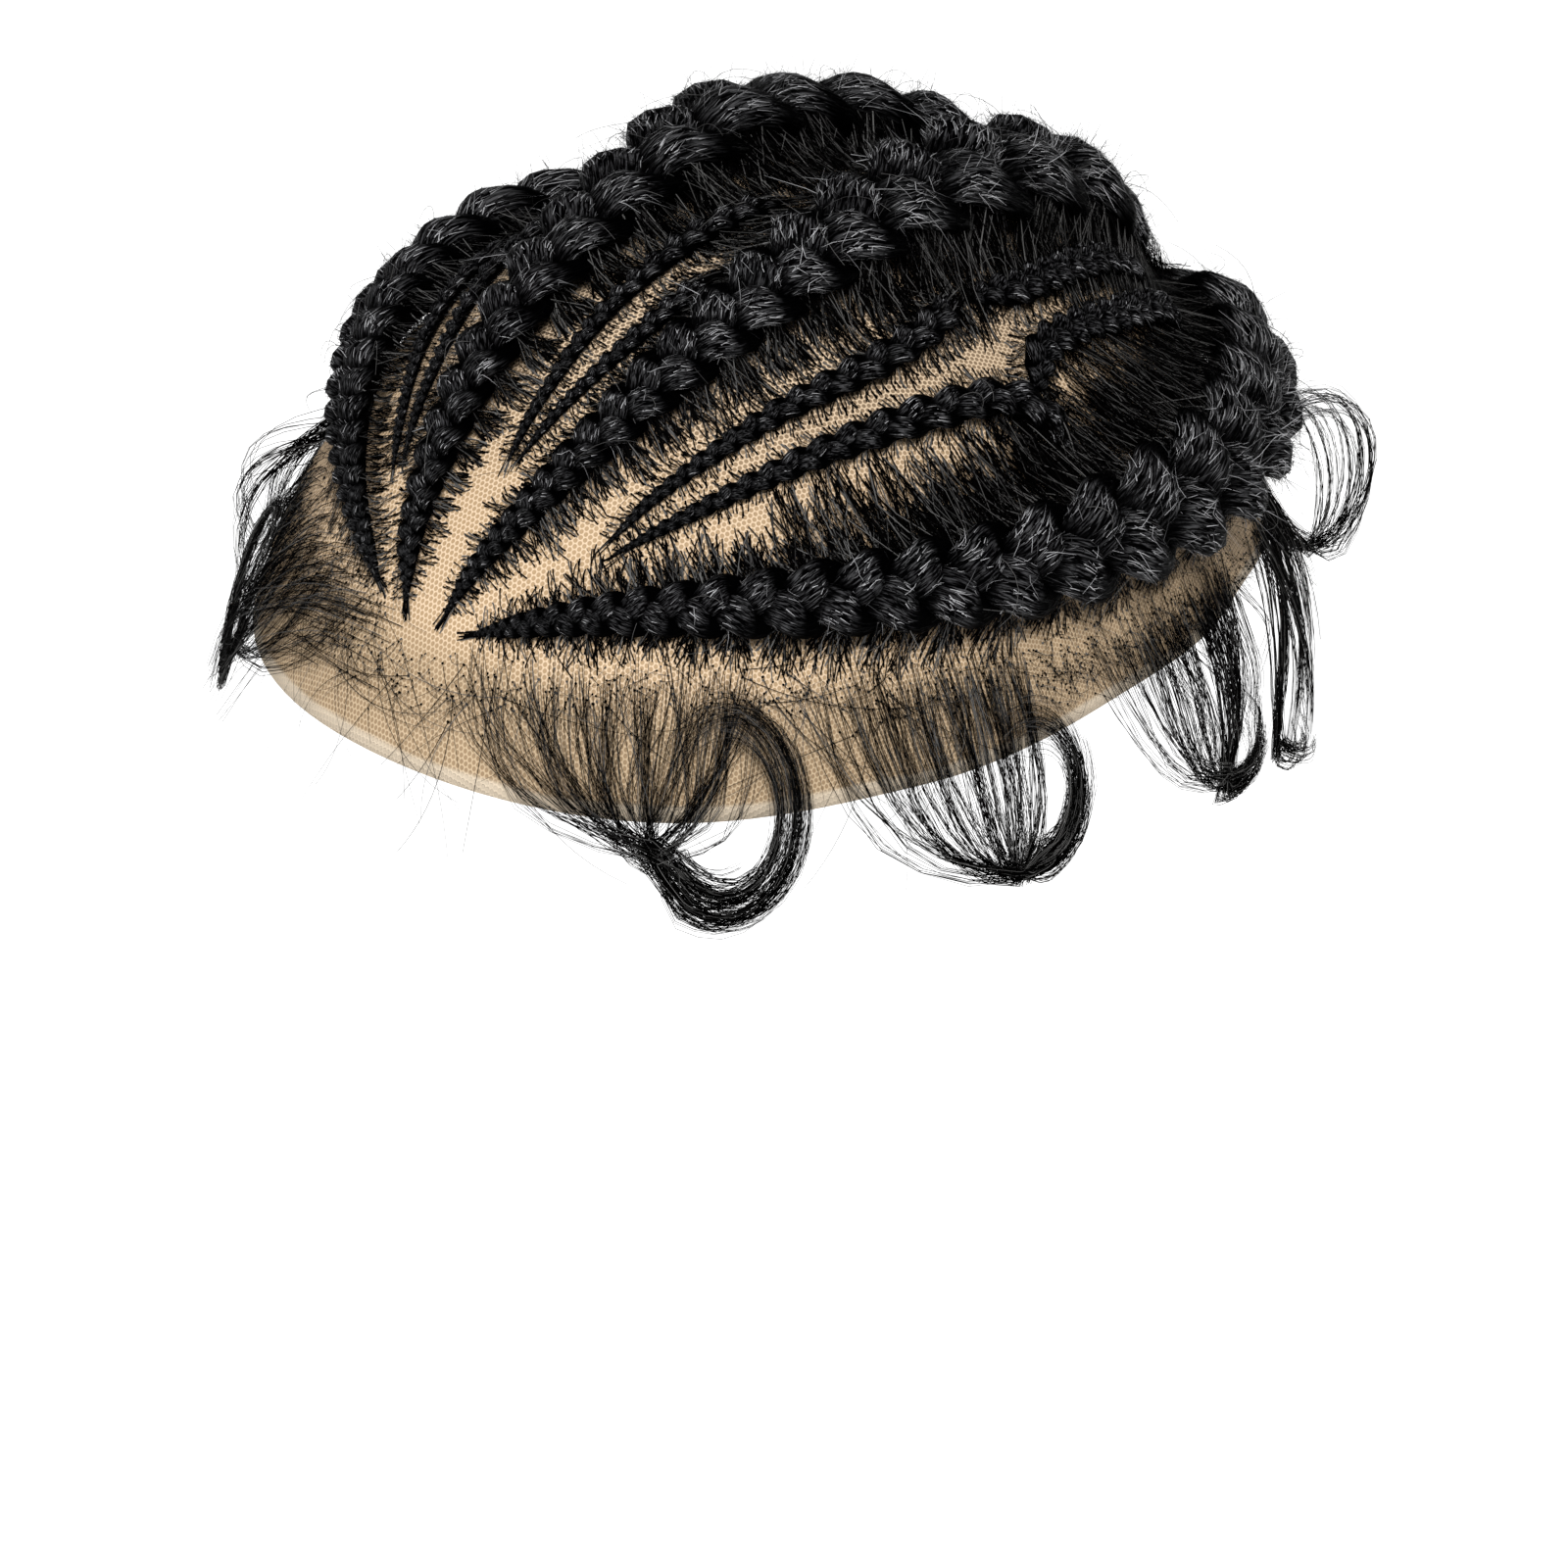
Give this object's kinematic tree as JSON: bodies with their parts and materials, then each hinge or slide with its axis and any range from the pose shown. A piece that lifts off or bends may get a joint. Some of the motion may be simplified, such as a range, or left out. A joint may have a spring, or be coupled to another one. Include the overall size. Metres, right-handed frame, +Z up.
{
  "type": "cornrow toupee",
  "caption": "Toupee for a bald head: thin lace cap with big and thin cornrows fanning back from the front point, and loose curled baby hair round its edge.",
  "frame": {"origin": "inside of the crown, where the lace sits on the top of the head", "axes": "+Z up, -Y to the wearer's face, +X to the wearer's left"},
  "size_m": [0.1632, 0.198, 0.1193],
  "materials": {
    "lace": "fine beige net, matte",
    "braided_hair": "off-black plaited hair, satin sheen",
    "loose_hair": "off-black fine hair, satin sheen"
  },
  "bodies": {
    "root": {"lace_base": "lace", "cornrow_left_edge": "braided_hair", "cornrow_left_crown": "braided_hair", "cornrow_right_crown": "braided_hair", "cornrow_right_edge": "braided_hair", "thin_plait_right_outer": "braided_hair", "thin_plait_right_inner": "braided_hair", "thin_plait_middle_right": "braided_hair", "thin_plait_middle_left": "braided_hair", "thin_plait_left_inner": "braided_hair", "thin_plait_left_outer": "braided_hair", "thin_plait_back_left_inner": "braided_hair", "thin_plait_back_left_outer": "braided_hair", "thin_plait_back_right_inner": "braided_hair", "thin_plait_back_right_outer": "braided_hair", "baby_hair_front_left": "loose_hair", "baby_hair_front_right": "loose_hair", "baby_hair_temple_left": "loose_hair", "baby_hair_temple_right": "loose_hair", "baby_hair_side_left": "loose_hair", "baby_hair_side_right": "loose_hair", "baby_hair_nape_left": "loose_hair", "baby_hair_nape_right": "loose_hair", "baby_hair_back_left": "loose_hair", "baby_hair_back_right": "loose_hair"}
  },
  "joints": []
}
